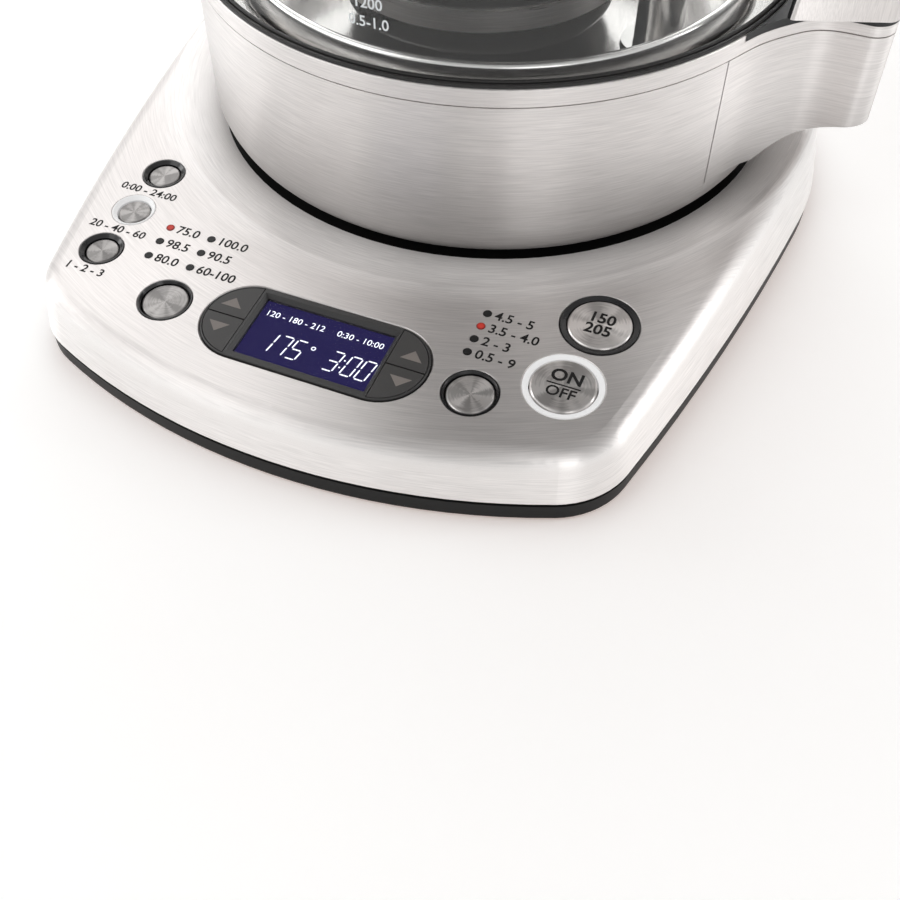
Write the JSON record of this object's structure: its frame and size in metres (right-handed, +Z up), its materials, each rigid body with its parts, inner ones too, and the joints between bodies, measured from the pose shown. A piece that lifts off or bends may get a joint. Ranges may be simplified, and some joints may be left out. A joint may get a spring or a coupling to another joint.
{
  "type": "automatic tea maker",
  "caption": "Glass jug on a sloped steel power base with display, buttons and lamps; inside, a motor lifts a tea basket along a post.",
  "frame": {"origin": "where the jug's axis meets the surface that the base stands on", "axes": "+Z up along the jug's axis, -Y towards the control panel, +X towards the handle"},
  "size_m": [0.2123, 0.25, 0.2453],
  "materials": {
    "brushed_steel": "fine brushed stainless steel",
    "spun_steel": "stainless steel, spun in circles",
    "polished_steel": "polished stainless steel",
    "plain_steel": "plain steel",
    "black_plastic": "black moulded plastic, fine grain",
    "bezel_plastic": "dark grey plastic, satin",
    "lit_ring": "translucent white ring, lit from behind",
    "rubber": "soft black rubber",
    "silicone": "dark grey silicone",
    "carafe_glass": "clear borosilicate glass",
    "window": "clear plastic window",
    "lcd": "deep blue liquid crystal panel, lit",
    "lamp": "dark lens; two of them are lit red",
    "brass": "plain brass",
    "board": "green circuit board",
    "motor_can": "plated steel can",
    "magnet": "plated magnet"
  },
  "bodies": {
    "base": {"top_cover": "brushed_steel", "panel_screws": "plain_steel", "seat_screws": "plain_steel", "base_tray": "black_plastic", "seat_disc": "black_plastic", "base_connector": "black_plastic", "switch_frame": "black_plastic", "display_frame": "bezel_plastic", "dark_button_rings": "bezel_plastic", "lit_button_rings": "lit_ring", "foot_ring": "rubber", "front_feet": "rubber", "cord_gland": "rubber", "display_window": "window", "lcd_module": "lcd", "status_lamps": "lamp", "contact_rings": "brass", "control_board": "board", "push_switches": "board"},
    "jug": {"band_shell": "brushed_steel", "jug_base_plate": "black_plastic", "jug_connector": "black_plastic", "lip_ring": "brushed_steel", "lip_gasket": "silicone", "band_foot": "brushed_steel", "heater_pan": "polished_steel", "heating_element": "plain_steel", "glass_body": "carafe_glass", "collar": "brushed_steel", "collar_seal": "silicone", "handle_core": "black_plastic", "handle_cover": "brushed_steel", "post_tube": "polished_steel", "post_cap": "polished_steel", "lift_motor": "motor_can"},
    "jug_lid": {"lid_disc": "brushed_steel", "lid_body": "black_plastic", "lid_seal": "silicone", "lid_knob": "brushed_steel"},
    "drive_screw": {"lead_screw": "plain_steel"},
    "inner_magnet": {"magnet_nut": "magnet"},
    "carrier": {"basket_carrier": "black_plastic", "carrier_magnet": "magnet"},
    "basket": {"basket_cup": "polished_steel", "basket_lower_ring": "polished_steel", "basket_shell": "polished_steel", "basket_upper_ring": "polished_steel"},
    "basket_cover": {"basket_lid": "polished_steel", "basket_lid_knob": "black_plastic"},
    "start_button_body": {"start_button": "spun_steel"},
    "warm_button_body": {"warm_button": "spun_steel"},
    "basket_button_body": {"basket_button": "spun_steel"},
    "tea_selector_body": {"tea_selector": "spun_steel"},
    "strength_selector_body": {"strength_selector": "spun_steel"},
    "water_button_body": {"water_button": "spun_steel"},
    "brew_button_body": {"brew_button": "spun_steel"},
    "heat_up_key_body": {"heat_up_key": "bezel_plastic"},
    "heat_down_key_body": {"heat_down_key": "bezel_plastic"},
    "time_up_key_body": {"time_up_key": "bezel_plastic"},
    "time_down_key_body": {"time_down_key": "bezel_plastic"}
  },
  "joints": [
    {"name": "jug_lift", "type": "slide", "parent": "base", "child": "jug", "axis": [0, 0, 1], "range_m": [0, 0.06]},
    {"name": "lid_lift", "type": "slide", "parent": "jug", "child": "jug_lid", "axis": [0, 0, 1], "range_m": [0, 0.05]},
    {"name": "basket_travel", "type": "slide", "parent": "jug", "child": "carrier", "axis": [0, 0, 1], "range_m": [0, 0.072]},
    {"name": "magnet_travel", "type": "slide", "parent": "jug", "child": "inner_magnet", "axis": [0, 0, 1], "range_m": [-0.001, 0.073]},
    {"name": "screw_turn", "type": "hinge", "parent": "jug", "child": "drive_screw", "pos_m": [0.0475, 0, 0.1], "axis": [0, 0, 1], "range_deg": [-10, 2170]},
    {"name": "basket_lift", "type": "slide", "parent": "carrier", "child": "basket", "axis": [0, 0, 1], "range_m": [0, 0.008]},
    {"name": "basket_cover_lift", "type": "slide", "parent": "basket", "child": "basket_cover", "axis": [0, 0, 1], "range_m": [0, 0.005]},
    {"name": "start_button_press", "type": "slide", "parent": "base", "child": "start_button_body", "axis": [0, 0.0649, -0.9979], "range_m": [0, 0.0008], "stiffness_N_per_m": 1500},
    {"name": "warm_button_press", "type": "slide", "parent": "base", "child": "warm_button_body", "axis": [0, 0.0649, -0.9979], "range_m": [0, 0.0008], "stiffness_N_per_m": 1500},
    {"name": "basket_button_press", "type": "slide", "parent": "base", "child": "basket_button_body", "axis": [0, 0.0649, -0.9979], "range_m": [0, 0.0008], "stiffness_N_per_m": 1500},
    {"name": "tea_selector_press", "type": "slide", "parent": "base", "child": "tea_selector_body", "axis": [0, 0.0649, -0.9979], "range_m": [0, 0.0008], "stiffness_N_per_m": 1500},
    {"name": "strength_selector_press", "type": "slide", "parent": "base", "child": "strength_selector_body", "axis": [0, 0.0649, -0.9979], "range_m": [0, 0.0008], "stiffness_N_per_m": 1500},
    {"name": "water_button_press", "type": "slide", "parent": "base", "child": "water_button_body", "axis": [0, 0.0649, -0.9979], "range_m": [0, 0.0008], "stiffness_N_per_m": 1500},
    {"name": "brew_button_press", "type": "slide", "parent": "base", "child": "brew_button_body", "axis": [0, 0.0649, -0.9979], "range_m": [0, 0.0008], "stiffness_N_per_m": 1500},
    {"name": "heat_up_key_press", "type": "slide", "parent": "base", "child": "heat_up_key_body", "axis": [0, 0.0649, -0.9979], "range_m": [0, 0.0006], "stiffness_N_per_m": 1500},
    {"name": "heat_down_key_press", "type": "slide", "parent": "base", "child": "heat_down_key_body", "axis": [0, 0.0649, -0.9979], "range_m": [0, 0.0006], "stiffness_N_per_m": 1500},
    {"name": "time_up_key_press", "type": "slide", "parent": "base", "child": "time_up_key_body", "axis": [0, 0.0649, -0.9979], "range_m": [0, 0.0006], "stiffness_N_per_m": 1500},
    {"name": "time_down_key_press", "type": "slide", "parent": "base", "child": "time_down_key_body", "axis": [0, 0.0649, -0.9979], "range_m": [0, 0.0006], "stiffness_N_per_m": 1500}
  ],
  "couplings": [
    {"joint": "magnet_travel", "follows": "basket_travel", "ratio": 1},
    {"joint": "screw_turn", "follows": "basket_travel", "rad_per_m": 523.6}
  ]
}
